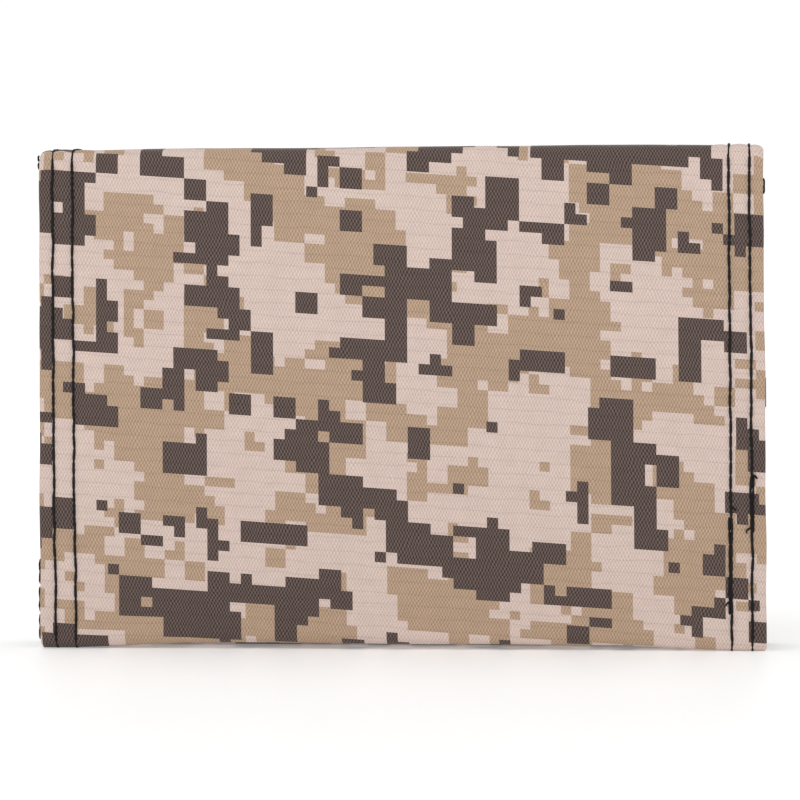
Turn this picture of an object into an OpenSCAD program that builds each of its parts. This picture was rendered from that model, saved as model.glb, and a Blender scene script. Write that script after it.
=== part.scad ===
// Trifold wallet, closed and standing on its bottom fold: a centre panel, a cover that folds
// over the top, and a short inner leaf that folds up from the bottom.
// Millimetres. X runs along the folds, +Z is up, the centre panel's outer face looks to -Y.

/* [Overall] */
// Width along the folds
body_w = 125; // [100:1:150]
// Height from fold to fold when closed
body_h = 86; // [72:1:100]

/* [Cloth and layers] */
// Shell cloth thickness
cloth_t = 0.5; // [0.4:0.05:0.8]
// Turned-in hem width at each side
hem_w = 8; // [5:0.5:12]
// Stiffener thickness
board_t = 0.5; // [0.3:0.05:0.8]
// Lining thickness
lining_t = 0.4; // [0.3:0.05:0.6]
// Free depth of the banknote compartment
bill_gap = 0.8; // [0.6:0.1:1.2]
// Binding tape thickness
tape_t = 0.3; // [0.2:0.05:0.5]
// Binding tape visible width
tape_w = 5; // [3:0.5:7]

/* [Folds] */
// Outer radius of each crease
fold_r = 2; // [1.5:0.1:2.5]
// Free space between the centre panel and the leaf
leaf_gap = 1.4; // [1:0.1:2.5]
// Free space between the leaf and the cover
cover_gap = 2.6; // [2.2:0.1:4]

/* [Card slots] */
// Outer width of the card slots
slot_w = 94; // [92:1:100]
// Distance from the top fold down to the back slot's mouth
slot_drop = 16; // [10:1:20]
// Step between one slot's mouth and the next
slot_step = 10; // [7:1:12]
// Slot panel thickness
slot_t = 0.35; // [0.25:0.05:0.5]
// Free depth of each slot
slot_gap = 0.3; // [0.25:0.05:0.6]
// Width of the sewn rim of a slot
slot_rim = 3; // [2:0.5:4]

/* [Inner leaf] */
// Height of the inner leaf
leaf_h = 46; // [36:1:47]
// Distance from the leaf's free edge down to its pocket's mouth
mouth_drop = 8; // [6:1:14]

/* [Closure] */
// Thickness of each hook or loop strip
closure_t = 1.2; // [0.9:0.05:1.25]
// Width of the closure along the folds
closure_w = 90; // [50:1:100]
// Height of the closure
closure_h = 16; // [12:1:18]
// Height of the closure's lower edge
closure_z = 8; // [7:0.5:10]

/* [Window] */
// Outer width of the window frame
window_w = 100; // [92:1:106]
// Space between the closure and the window frame
window_gap = 3; // [1:0.5:6]
// Width of the frame's border
window_border = 7; // [5:0.5:8]
// Depth of the frame
window_t = 0.9; // [0.7:0.05:1.1]
// Thickness of the clear film
film_t = 0.3; // [0.2:0.05:0.4]

/* [Coin pocket and zip] */
// Length of the zip opening
zip_len = 96; // [80:1:100]
// Distance from the top fold down to the zip's middle line
zip_drop = 24; // [20:1:32]
// Height of the slot in the cover that shows the zip
zip_slot_h = 6.4; // [5.5:0.1:8]
// Zip tape thickness
zip_tape_t = 0.4; // [0.3:0.05:0.5]
// Height of the coils over the tape
coil_h = 1; // [0.8:0.05:1.3]
// Width of one coil
coil_w = 1.75; // [1.4:0.05:2.2]
// Free gap between the two coils
coil_gap = 0.5; // [0.4:0.05:0.7]
// Pitch of the coil turns
coil_pitch = 1.3; // [1:0.1:1.8]
// Free depth inside the coin pocket
coin_gap = 1.05; // [1:0.05:1.5]
// Coin pocket cloth thickness
bag_t = 0.35; // [0.25:0.05:0.5]

/* [Slider and pull] */
// Slider length
slider_l = 8; // [6.5:0.5:10]
// Slider width
slider_w = 6.4; // [5.5:0.1:7.5]
// Slider top plate thickness
slider_t = 0.6; // [0.5:0.05:0.8]
// Radius of the bar that carries the pull
bar_r = 0.45; // [0.4:0.05:0.6]
// Length of the pull from its hinge
pull_l = 19; // [14:1:24]
// Width of the pull
pull_w = 4.6; // [3.5:0.1:6]
// Thickness of the pull
pull_t = 0.9; // [0.7:0.05:1]

/* [Stitching] */
// Distance of the outer row from the side
row_a = 2.4; // [1.5:0.1:3]
// Distance between the two rows
row_gap = 3.5; // [2.5:0.1:4.5]
// Stitch pitch
stitch_p = 2.4; // [1.8:0.1:3.2]
// Thread thickness
thread_t = 0.42; // [0.3:0.02:0.5]

/* [Label] */
// Width of the plain woven label
label_w = 26; // [18:1:34]
// Height of the label
label_h = 8; // [6:0.5:12]

/* [Hidden] */
$fn = 48;

half = body_w / 2;
// depths inside the centre panel, from its outer face
a_hem = cloth_t + board_t;
a_lin = a_hem + bill_gap;
a_slot = a_lin + lining_t;
layer = slot_gap + slot_t;
a_front = a_slot + 3 * layer + tape_t;
// the leaf's outer face
leaf_d = cloth_t + board_t + bill_gap + lining_t + layer + tape_t;
wb = a_front + leaf_gap + leaf_d;
// the cover's outer face
bag_d = coin_gap + bag_t;
cover_bill = bill_gap - 0.2;
k_bag = cloth_t + bag_d;
k_board = k_bag + board_t;
k_bill = k_board + cover_bill;
k_in = k_bill + lining_t;
wc = wb + cover_gap + k_in;
// slider and pull depths beyond the cover's face
run = 0.1;
eye_clear = 0.1;
coil_top = coil_h - cloth_t;
plate_in = coil_top + run;
plate_out = plate_in + slider_t;
eye_r = bar_r + eye_clear + 0.4;
bar_y = plate_out + 0.15 + eye_r;
eye_w = 2.2;
post_in = eye_w / 2 + 0.2;
post_t = 0.8;
post_l = 2;
under_t = coin_gap - zip_tape_t - 2 * run;
neck_l = 2.4;
slider_x = -zip_len / 2 + 2 + slider_l / 2 + 0.5;
// middle of the whole depth, pull included
y_mid = (wc + bar_y + eye_r) / 2;
edge_in = 1;
lin_x = half - edge_in;
lin_end = fold_r * 2;
leaf_top = leaf_h;
leaf_mouth = leaf_top - mouth_drop;
zip_z = body_h - zip_drop;
slot_z = lin_end + 2;
slot_top = body_h - slot_drop - 2 * slot_step;
win_z0 = closure_z + closure_h + window_gap;
win_z1 = body_h - 5;
lfr = 1;
camo = [0.74, 0.64, 0.58];
black = [0.09, 0.09, 0.10];
dark = [0.14, 0.14, 0.15];

module slab(x0, x1, y0, y1, z0, z1)
  translate([x0, y0 - y_mid, z0])
  cube([x1 - x0, y1 - y0, z1 - z0]);

module wide(hw, y0, y1, z0, z1)
  slab(-hw, hw, y0, y1, z0, z1);

// quarter bend along X: a0 is 180 top front, 90 top back, 270 bottom front, 0 bottom back
module bend(yc, zc, a0, w, ro, t)
  translate([-w / 2, yc - y_mid, zc])
  rotate([0, 90, 0])
  rotate([0, 0, a0])
  rotate_extrude(angle = 90)
  translate([ro - t, 0])
  square([t, w]);

// one stitch row up the panel, sunk flush in a face that starts at y0
module row(x, y0, z0, z1) {
  n = floor((z1 - z0) / stitch_p);
  m = (z1 - z0 - n * stitch_p) / 2;
  for (i = [0 : n - 1])
    slab(x - thread_t / 2, x + thread_t / 2, y0, y0 + thread_t * 0.6,
         z0 + m + i * stitch_p + 0.25, z0 + m + (i + 1) * stitch_p - 0.25);
}

module rows(y0, z0, z1) {
  row(-half + row_a, y0, z0, z1);
  row(-half + row_a + row_gap, y0, z0, z1);
  row(half - row_a, y0, z0, z1);
  row(half - row_a - row_gap, y0, z0, z1);
}

module stitches_centre()
  color(black)
  rows(0, fold_r, body_h - fold_r);

module stitches_cover()
  color(black)
  rows(wc - thread_t * 0.6, tape_w + 0.5, body_h - fold_r);

module stitches_leaf()
  color(black)
  rows(wb - thread_t * 0.6, fold_r, leaf_top - tape_w + tape_t);

// ---- centre panel ----
module shell_centre()
  color(camo)
  difference() {
    union() {
      wide(half, 0, cloth_t, fold_r, body_h - fold_r);
      slab(-half, -half + hem_w, cloth_t, a_hem, fold_r, body_h - fold_r);
      slab(half - hem_w, half, cloth_t, a_hem, fold_r, body_h - fold_r);
    }
    rows(0, fold_r, body_h - fold_r);
  }

module board_centre()
  color(dark)
  wide(half - hem_w, cloth_t, a_hem, lin_end, body_h - lin_end);

module lining_centre()
  color(black)
  union() {
    wide(lin_x, a_lin, a_slot, lin_end, body_h - lin_end);
    slab(-lin_x, -lin_x + 3, a_hem, a_lin, lin_end, body_h - lin_end);
  }

// a pocket layer: a sewn rim on three sides and a front panel that rises by up
module tray(y0, up)
  difference() {
    wide(slot_w / 2, y0, y0 + layer, slot_z, slot_top + up);
    wide(slot_w / 2 - slot_rim, y0, y0 + slot_gap, slot_z + slot_rim, slot_top + up);
  }

module slot_back()
  color(black)
  tray(a_slot, 2 * slot_step);

module slot_middle()
  color(black)
  tray(a_slot + layer, slot_step);

module slot_front()
  color(black)
  tray(a_slot + 2 * layer, 0);

module mouth_tape(y0, z1)
  color(dark)
  wide(slot_w / 2, y0, y0 + tape_t, z1 - tape_w, z1);

module slot_back_binding()
  mouth_tape(a_slot + layer, slot_top + 2 * slot_step);

module slot_middle_binding()
  mouth_tape(a_slot + 2 * layer, slot_top + slot_step);

module slot_front_binding()
  mouth_tape(a_slot + 3 * layer, slot_top);

// ---- top fold ----
module shell_top_spine()
  color(camo)
  wide(half, fold_r, wc - fold_r, body_h - cloth_t, body_h);

module shell_top_creases()
  color(camo)
  union() {
    bend(fold_r, body_h - fold_r, 180, body_w, fold_r, cloth_t);
    bend(wc - fold_r, body_h - fold_r, 90, body_w, fold_r, cloth_t);
  }

module lining_top_fold()
  color(black)
  union() {
    zt = body_h - a_lin;
    yo = wc - k_bill;
    wide(lin_x, a_lin, a_slot, body_h - lin_end, zt - lfr);
    bend(a_lin + lfr, zt - lfr, 180, 2 * lin_x, lfr, lining_t);
    wide(lin_x, a_lin + lfr, yo - lfr, zt - lining_t, zt);
    bend(yo - lfr, zt - lfr, 90, 2 * lin_x, lfr, lining_t);
    wide(lin_x, yo - lining_t, yo, body_h - lin_end, zt - lfr);
  }

// ---- cover ----
module shell_cover()
  color(camo)
  difference() {
    union() {
      wide(half, wc - cloth_t, wc, tape_t, body_h - fold_r);
      slab(-half, -half + hem_w, wc - a_hem, wc - cloth_t, tape_t, body_h - fold_r);
      slab(half - hem_w, half, wc - a_hem, wc - cloth_t, tape_t, body_h - fold_r);
    }
    wide(zip_len / 2, wc - cloth_t, wc, zip_z - zip_slot_h / 2, zip_z + zip_slot_h / 2);
    rows(wc - thread_t * 0.6, tape_w + 0.5, body_h - fold_r);
  }

module coin_pocket_bag()
  color(black)
  difference() {
    wide(half - hem_w - 1, wc - k_bag, wc - cloth_t, 3.5, body_h - 6);
    wide(half - hem_w - 3.5, wc - k_bag + bag_t, wc - cloth_t, 6, body_h - 8.5);
  }

module board_cover()
  color(dark)
  wide(half - hem_w, wc - k_board, wc - k_bag, 3.5, body_h - 6);

module lining_cover()
  color(black)
  union() {
    wide(lin_x, wc - k_in, wc - k_bill, tape_t, body_h - lin_end);
    slab(-lin_x, -lin_x + 3, wc - k_bill, wc - a_hem, tape_t, body_h - lin_end);
    wide(lin_x, wc - k_bill, wc - a_hem, tape_t, 3.3);
  }

module loop_strip()
  color(dark)
  wide(closure_w / 2, wc - k_in - closure_t, wc - k_in, closure_z, closure_z + closure_h);

module window_frame()
  color(dark)
  difference() {
    wide(window_w / 2, wc - k_in - window_t, wc - k_in, win_z0, win_z1);
    wide(window_w / 2 - window_border, wc - k_in - window_t, wc - k_in,
         win_z0 + window_border, win_z1 - window_border);
    slab(0, window_w / 2, wc - k_in - window_t + film_t, wc - k_in,
         win_z0 + window_border, win_z1 - window_border);
  }

module window_film()
  color([0.85, 0.88, 0.9, 0.35])
  wide(window_w / 2 - window_border, wc - k_in - window_t, wc - k_in - window_t + film_t,
       win_z0 + window_border, win_z1 - window_border);

module zip_tape(s)
  color(black)
  translate([0, 0, zip_z])
  mirror([0, 0, s])
  wide(zip_len / 2 + 2, wc - cloth_t - zip_tape_t, wc - cloth_t, coil_gap / 2, 6);

module zip_tape_upper()
  zip_tape(0);

module zip_tape_lower()
  zip_tape(1);

coil_l = zip_len - 4;
turns = floor(coil_l / coil_pitch);

module coil()
  color(dark)
  translate([-coil_l / 2, wc - cloth_t - y_mid, coil_gap / 2])
  linear_extrude(coil_w)
  union() {
    square([coil_l, coil_h * 0.6]);
    for (i = [0 : turns - 1])
      translate([(i + 0.2) * coil_pitch, 0])
      square([coil_pitch * 0.6, coil_h]);
  }

module zip_coil_upper()
  translate([0, 0, zip_z])
  coil();

module zip_coil_lower()
  translate([0, 0, zip_z])
  mirror([0, 0, 1])
  coil();

module zip_stop(x0)
  slab(x0, x0 + 1.2, wc - cloth_t, wc + coil_top, zip_z - 2.2, zip_z + 2.2);

module zip_stops()
  color([0.35, 0.35, 0.36])
  union() {
    zip_stop(-coil_l / 2 - 1.3);
    zip_stop(coil_l / 2 + 0.1);
  }

module cover_edge_binding()
  color(dark)
  union() {
    wide(half, wc, wc + tape_t, 0, tape_w);
    wide(half, wc - k_in - tape_t, wc + tape_t, 0, tape_t);
    wide(half, wc - k_in - tape_t, wc - k_in, 0, tape_w);
  }

label_x = body_w * 0.09;

module label_patch()
  color([0.55, 0.08, 0.08])
  slab(label_x - label_w / 2, label_x + label_w / 2, wc, wc + 0.4, tape_w + 1, tape_w + 1 + label_h);

// ---- bottom fold ----
module shell_bottom_spine()
  color(camo)
  wide(half, fold_r, wb - fold_r, 0, cloth_t);

module shell_bottom_creases()
  color(camo)
  union() {
    bend(fold_r, fold_r, 270, body_w, fold_r, cloth_t);
    bend(wb - fold_r, fold_r, 0, body_w, fold_r, cloth_t);
  }

module lining_bottom_fold()
  color(black)
  union() {
    yo = wb - a_lin;
    wide(lin_x, a_lin, a_slot, a_lin + lfr, lin_end);
    bend(a_lin + lfr, a_lin + lfr, 270, 2 * lin_x, lfr, lining_t);
    wide(lin_x, a_lin + lfr, yo - lfr, a_lin, a_slot);
    bend(yo - lfr, a_lin + lfr, 0, 2 * lin_x, lfr, lining_t);
    wide(lin_x, yo - lining_t, yo, a_lin + lfr, lin_end);
  }

// ---- inner leaf ----
module shell_leaf()
  color(camo)
  difference() {
    union() {
      wide(half, wb - cloth_t, wb, fold_r, leaf_top);
      slab(-half, -half + hem_w, wb - a_hem, wb - cloth_t, fold_r, leaf_top);
      slab(half - hem_w, half, wb - a_hem, wb - cloth_t, fold_r, leaf_top);
    }
    rows(wb - thread_t * 0.6, fold_r, leaf_top - tape_w + tape_t);
  }

module board_leaf()
  color(dark)
  wide(half - hem_w, wb - a_hem, wb - cloth_t, lin_end, leaf_top);

module lining_leaf()
  color(black)
  union() {
    wide(lin_x, wb - a_slot, wb - a_lin, lin_end, leaf_top);
    slab(-lin_x, -lin_x + 3, wb - a_lin, wb - a_hem, lin_end, leaf_top);
    wide(lin_x, wb - a_lin, wb - a_hem, leaf_top - 3, leaf_top);
  }

module hook_strip()
  color(dark)
  wide(closure_w / 2, wb, wb + closure_t, closure_z, closure_z + closure_h);

module leaf_pocket()
  color(black)
  difference() {
    wide(slot_w / 2, wb - a_slot - layer, wb - a_slot, lin_end, leaf_mouth);
    wide(slot_w / 2 - slot_rim, wb - a_slot - slot_gap, wb - a_slot, lin_end + slot_rim, leaf_mouth);
  }

module leaf_pocket_binding()
  mouth_tape(wb - a_slot - layer - tape_t, leaf_mouth);

module leaf_edge_binding()
  color(dark)
  union() {
    wide(half, wb, wb + tape_t, leaf_top - tape_w + tape_t, leaf_top + tape_t);
    wide(half, wb - a_slot - tape_t, wb + tape_t, leaf_top, leaf_top + tape_t);
    wide(half, wb - a_slot - tape_t, wb - a_slot, leaf_top - tape_w + tape_t, leaf_top + tape_t);
  }

// ---- zip slider and pull ----
module plate2d(l, w, r)
  union() {
    square([l - 2 * r, w], center = true);
    square([l, w - 2 * r], center = true);
    for (i = [-1, 1])
      for (j = [-1, 1])
        translate([i * (l / 2 - r), j * (w / 2 - r)])
        circle(r);
  }

// flat plate facing Y, centred on x, z = 0, from y0 to y1
module plate(l, w, r, y0, y1)
  translate([0, y1, 0])
  rotate([90, 0, 0])
  linear_extrude(y1 - y0)
  plate2d(l, w, r);

module slider_body()
  color([0.32, 0.32, 0.33])
  translate([slider_x, wc - y_mid, zip_z])
  union() {
    plate(slider_l, slider_w, 1.6, plate_in, plate_out);
    plate(slider_l, slider_w - 1, 1.6, -k_bag + bag_t + run, -k_bag + bag_t + run + under_t);
    translate([-2.5, -k_bag + bag_t + run, -coil_gap / 2 + run])
      cube([5, k_bag - bag_t - run + plate_out, coil_gap - 2 * run]);
    for (s = [0, 1])
      mirror([0, 0, s])
      translate([-post_l / 2, plate_in, post_in])
      cube([post_l, bar_y - plate_in + bar_r, post_t]);
    translate([0, bar_y, -post_in - 0.1])
      cylinder(r = bar_r, h = 2 * post_in + 0.2);
  }

module pull_tab()
  color([0.32, 0.32, 0.33])
  translate([slider_x, wc - y_mid + bar_y, zip_z])
  difference() {
    union() {
      translate([0, 0, -eye_w / 2])
        cylinder(r = eye_r, h = eye_w);
      translate([0, -pull_t / 2, -eye_w / 2])
        cube([neck_l + 1, pull_t, eye_w]);
      translate([(neck_l + pull_l) / 2, 0, 0])
        plate(pull_l - neck_l, pull_w, 1.2, -pull_t / 2, pull_t / 2);
    }
    translate([0, 0, -eye_w])
      cylinder(r = bar_r + eye_clear, h = 2 * eye_w);
    translate([pull_l - 4.2, 0, 0])
      plate(4.4, 1.8, 0.85, -pull_t, pull_t);
  }

shell_centre();
board_centre();
lining_centre();
slot_back();
slot_middle();
slot_front();
slot_back_binding();
slot_middle_binding();
slot_front_binding();
stitches_centre();
shell_top_spine();
shell_top_creases();
lining_top_fold();
shell_cover();
board_cover();
lining_cover();
loop_strip();
window_frame();
window_film();
coin_pocket_bag();
zip_tape_upper();
zip_tape_lower();
zip_coil_upper();
zip_coil_lower();
zip_stops();
cover_edge_binding();
label_patch();
stitches_cover();
shell_bottom_spine();
shell_bottom_creases();
lining_bottom_fold();
shell_leaf();
board_leaf();
lining_leaf();
hook_strip();
leaf_pocket();
leaf_pocket_binding();
leaf_edge_binding();
stitches_leaf();
slider_body();
pull_tab();
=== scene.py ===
"""Looks for the trifold wallet: printed ripstop shell, black lining, stitching, zip and closure.

Metres, in the CAD frame: X along the folds, the centre panel's outer face looks to -Y, +Z up.
The shell and the lining are strips of cloth that run from the cover's foot, over the top fold,
down the centre panel, round the bottom fold and up the inner leaf. A point on a strip has an
x and a length s along it, and the same two numbers drive the print and the weave.
"""
import math

import bpy
import numpy as np
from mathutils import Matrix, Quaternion, Vector, noise


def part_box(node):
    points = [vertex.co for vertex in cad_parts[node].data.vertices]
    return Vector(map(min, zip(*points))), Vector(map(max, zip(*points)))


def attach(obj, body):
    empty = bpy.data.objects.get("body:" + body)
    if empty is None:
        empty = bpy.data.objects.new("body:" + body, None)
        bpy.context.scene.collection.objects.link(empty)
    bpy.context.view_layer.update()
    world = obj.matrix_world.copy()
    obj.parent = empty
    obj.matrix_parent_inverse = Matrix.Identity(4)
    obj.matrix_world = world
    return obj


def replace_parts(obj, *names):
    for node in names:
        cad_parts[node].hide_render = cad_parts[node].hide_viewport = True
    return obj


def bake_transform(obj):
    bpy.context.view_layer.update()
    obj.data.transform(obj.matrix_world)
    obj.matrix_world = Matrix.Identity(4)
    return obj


MM = 0.001
SHARP = math.radians(50)
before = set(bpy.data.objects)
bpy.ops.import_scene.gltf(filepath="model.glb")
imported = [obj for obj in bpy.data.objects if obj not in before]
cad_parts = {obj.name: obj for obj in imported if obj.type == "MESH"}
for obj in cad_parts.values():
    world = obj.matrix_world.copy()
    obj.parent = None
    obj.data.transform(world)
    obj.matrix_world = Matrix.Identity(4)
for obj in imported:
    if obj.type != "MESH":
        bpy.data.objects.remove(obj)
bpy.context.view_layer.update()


# ---- sizes from the frame
def edge(node, side, axis):
    """One coordinate of a CAD node's box: side 0 is low, 1 is high."""
    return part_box(node)[side]["xyz".index(axis)]


HALF = edge("shell_centre", 1, "x")
Y_FRONT = edge("shell_centre", 0, "y")
Y_BACK = edge("shell_cover", 1, "y")
Y_LEAF = edge("shell_leaf", 1, "y")
TOP = edge("shell_top_spine", 1, "z")
FLOOR = edge("shell_bottom_spine", 0, "z")
BEND = edge("shell_centre", 0, "z") - FLOOR
LEAF_TOP = edge("shell_leaf", 1, "z")
FOOT = edge("shell_cover", 0, "z")
CLOTH = TOP - edge("shell_top_spine", 0, "z")
HEM = HALF - edge("board_centre", 1, "x")
LIN_X = edge("lining_centre", 1, "x")
LIN_FRONT = edge("lining_top_fold", 0, "y")
LIN_BACK = edge("lining_top_fold", 1, "y")
LIN_TOP = edge("lining_top_fold", 1, "z")
LIN_FLOOR = edge("lining_bottom_fold", 0, "z")
LIN_LEAF = edge("lining_bottom_fold", 1, "y")
LINING = edge("lining_centre", 1, "y") - LIN_FRONT
ZIP_HALF = edge("zip_coil_upper", 1, "x") + 2 * MM
ZIP_Z = (edge("zip_coil_upper", 0, "z") + edge("zip_coil_lower", 1, "z")) / 2
SLOT_HALF_H = 3.2 * MM

# ---- sizes of the sewing and the cloth
ROW_OUT, ROW_IN = 2.4 * MM, 5.9 * MM  # the stitch rows' distances from the side
ROW_LEAN = 0.42 * MM  # how far the left rows wander inwards
PITCH = 2.35 * MM  # one stitch
THREAD_R, FINE_THREAD_R = 0.25 * MM, 0.15 * MM
THREAD_STAND, THREAD_SINK = 0.15 * MM, 0.07 * MM
CROWNS = (("centre", 0.55 * MM), ("cover", 0.45 * MM), ("leaf", 0.2 * MM))
BOW = 1.05 * MM  # the lift of the bottom fold's middle
TAPER = 0.5 * MM  # what each side of the shell draws in by at the top
TAPE_THICK, MOUTH_TAPE_THICK, MOUTH_THICK = 0.28 * MM, 0.14 * MM, 0.42 * MM


# ---- mesh tools
def noise_at(u, v, seed):
    """Perlin noise, about -1 to 1, at arrays of two coordinates."""
    u, v = np.broadcast_arrays(u, v)
    return np.array([noise.noise((a, b, seed)) for a, b in zip(u.ravel(), v.ravel())]).reshape(u.shape)


def stack(*parts):
    return np.stack(parts, axis=-1)


def smooth(t):
    t = np.clip(t, 0, 1)
    return t * t * (3 - 2 * t)


def linked(name, data):
    piece = bpy.data.objects.new(name, data)
    bpy.context.scene.collection.objects.link(piece)
    return piece


def make_object(name, verts, faces, uv=None):
    mesh = bpy.data.meshes.new(name)
    mesh.from_pydata(np.asarray(verts).reshape(-1, 3).tolist(), [], faces)
    if uv is not None:
        layer = mesh.uv_layers.new(name="strip")
        loops = np.zeros(len(mesh.loops), dtype=np.int32)
        mesh.loops.foreach_get("vertex_index", loops)
        layer.data.foreach_set("uv", np.asarray(uv, np.float32).reshape(-1, 2)[loops].ravel())
    mesh.polygons.foreach_set("use_smooth", [True] * len(mesh.polygons))
    mesh.set_sharp_from_angle(angle=SHARP)
    mesh.validate()
    return linked(name, mesh)


def grid_faces(rows, cols, keep):
    """Quads of a rows x cols grid of points; keep(row, col), where given, leaves some out."""
    corners = [i * cols + j for i in range(rows - 1) for j in range(cols - 1) if keep is None or keep(i, j)]
    return [(a, a + 1, a + cols + 1, a + cols) for a in corners]


def apply_modifiers(piece):
    graph = bpy.context.evaluated_depsgraph_get()
    mesh = bpy.data.meshes.new_from_object(piece.evaluated_get(graph))
    piece.modifiers.clear()
    piece.data = mesh


def sheet_of(name, points, uv, thickness, keep=None, flip=False):
    """A sheet of cloth from a grid of points, thickened away from its normal."""
    rows, cols = points.shape[:2]
    faces = grid_faces(rows, cols, keep)
    if flip:
        faces = [f[::-1] for f in faces]
    piece = make_object(name, points, faces, uv)
    solid = piece.modifiers.new("thickness", "SOLIDIFY")
    solid.thickness = thickness
    solid.offset = -1
    apply_modifiers(piece)
    piece.data.set_sharp_from_angle(angle=SHARP)
    return piece


def tube_mesh(lines, radius, sides=6):
    """Vertices and faces of round tubes along polylines; radius is one number or one per point."""
    verts, faces = [], []
    for line in lines:
        line = np.asarray(line, float)
        radii = radius if np.ndim(radius) else np.full(len(line), radius)
        along = np.gradient(line, axis=0)
        along /= np.linalg.norm(along, axis=1)[:, None]
        ref = np.cross(along[0], (0.31, 0.52, 0.79))
        base = sum(len(v) for v in verts)
        rings = []
        for p, d, r in zip(line, along, radii):
            ref = ref - d * (ref @ d)
            ref /= np.linalg.norm(ref)
            other = np.cross(d, ref)
            turn = np.linspace(0, 2 * math.pi, sides, endpoint=False)
            rings.append(p + r * (np.outer(np.cos(turn), ref) + np.outer(np.sin(turn), other)))
        verts.append(np.vstack(rings))
        for i in range(len(line) - 1):
            for j in range(sides):
                a, b = base + i * sides + j, base + i * sides + (j + 1) % sides
                faces.append((a, b, b + sides, a + sides))
        faces.append(tuple(base + j for j in range(sides))[::-1])
        last = base + (len(line) - 1) * sides
        faces.append(tuple(last + j for j in range(sides)))
    return np.vstack(verts), faces


def rng(seed):
    return np.random.default_rng(seed)


# ---- the strips
class Strip:
    """The outer line of a strip of cloth in the YZ plane, from the cover's foot to the leaf's edge.

    s is the length along it. marks holds the s where each panel, fold and bend begins and ends.
    """

    def __init__(self, front, back, leaf, foot, top, floor, leaf_top, r, step):
        pts, self.marks = [], {}

        def line(name, p, q, normal):
            n = max(2, round(math.dist(p, q) / step) + 1)
            for t in np.linspace(0, 1, n):
                pts.append((p[0] + (q[0] - p[0]) * t, p[1] + (q[1] - p[1]) * t, *normal, name))

        def bend(name, centre, a0):
            for a in np.linspace(a0, a0 + 90, 9):
                c, s = math.cos(math.radians(a)), math.sin(math.radians(a))
                pts.append((centre[0] + r * c, centre[1] + r * s, c, s, name))

        line("cover", (back, foot), (back, top - r), (1, 0))
        bend("top_bend_back", (back - r, top - r), 0)
        line("top", (back - r, top), (front + r, top), (0, 1))
        bend("top_bend_front", (front + r, top - r), 90)
        line("centre", (front, top - r), (front, floor + r), (-1, 0))
        bend("bottom_bend_front", (front + r, floor + r), 180)
        line("bottom", (front + r, floor), (leaf - r, floor), (0, -1))
        bend("bottom_bend_back", (leaf - r, floor + r), 270)
        line("leaf", (leaf, floor + r), (leaf, leaf_top), (1, 0))
        rows = np.array([p[:4] for p in pts])
        steps = np.linalg.norm(np.diff(rows[:, :2], axis=0), axis=1)
        length = np.concatenate([[0], np.cumsum(steps)])
        for name, s in zip([p[4] for p in pts], length):
            low, _ = self.marks.get(name, (s, s))
            self.marks[name] = (low, s)
        keep = np.concatenate([[True], steps > 1e-9])
        self.s, self.rows = length[keep], rows[keep]
        self.end = self.s[-1]

    def mid(self, name):
        return sum(self.marks[name]) / 2

    def stations(self, low, high, extra=()):
        inside = self.s[(self.s > low + 1e-6) & (self.s < high - 1e-6)]
        every = np.unique(np.concatenate([[low], inside, [high], extra]).round(8))
        return every[np.concatenate([[True], np.diff(every) > 0.08 * MM])]

    def at(self, s):
        """y, z and the outward normal's y and z, at lengths s."""
        return [np.interp(s, self.s, self.rows[:, k]) for k in range(4)]


shell = Strip(Y_FRONT, Y_BACK, Y_LEAF, FOOT, TOP, FLOOR, LEAF_TOP, BEND, 0.6 * MM)
lining = Strip(LIN_FRONT, LIN_BACK, LIN_LEAF, FOOT, LIN_TOP, LIN_FLOOR, LEAF_TOP, 1 * MM, 1.5 * MM)


def panel_share(strip, name, s):
    low, high = strip.marks[name]
    return np.clip((s - low) / (high - low), 0, 1)


def row_lean(x, s):
    """How far the left stitch rows wander inwards on their way down the centre panel."""
    return np.where(x < 0, ROW_LEAN * panel_share(shell, "centre", s) ** 2, 0.0)


def swell(x, s):
    """How far the shell stands out from its flat panels: puffed middles, ripples and sewn-in rows."""
    side = np.abs(x) / HALF
    out = 0.35 * MM * np.sin(math.pi * panel_share(shell, "top", s)) * (1 - side**6)
    for name, height in CROWNS:
        out += height * np.sin(math.pi * panel_share(shell, name, s)) ** 0.8 * (1 - side**4)
    out += 0.16 * MM * noise_at(x / (26 * MM), s / (15 * MM), seed=3.1)
    out += 0.035 * MM * noise_at(x / (7 * MM), s / (5 * MM), seed=8.7)

    # the cloth sinks along its stitch rows, stands between them and steps down past the hem
    inward = HALF - np.abs(x) - row_lean(x, s)
    sewn = sum(np.exp(-(((inward - row) / (0.75 * MM)) ** 2)) for row in (ROW_OUT, ROW_IN))
    out -= 0.17 * MM * sewn * (0.6 + 0.4 * np.cos(2 * math.pi * s / PITCH) ** 2)
    out += 0.1 * MM * np.exp(-(((inward - (ROW_OUT + ROW_IN) / 2) / (1.1 * MM)) ** 2))
    out -= 0.12 * MM * smooth((inward - HEM + 0.6 * MM) / (1.2 * MM))
    low, high = shell.marks["bottom_bend_front"][0], shell.marks["bottom_bend_back"][1]
    on_floor = smooth((s - low + 3 * MM) / (4 * MM)) * smooth((high + 3 * MM - s) / (4 * MM))
    return out * (1 - on_floor)


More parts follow.
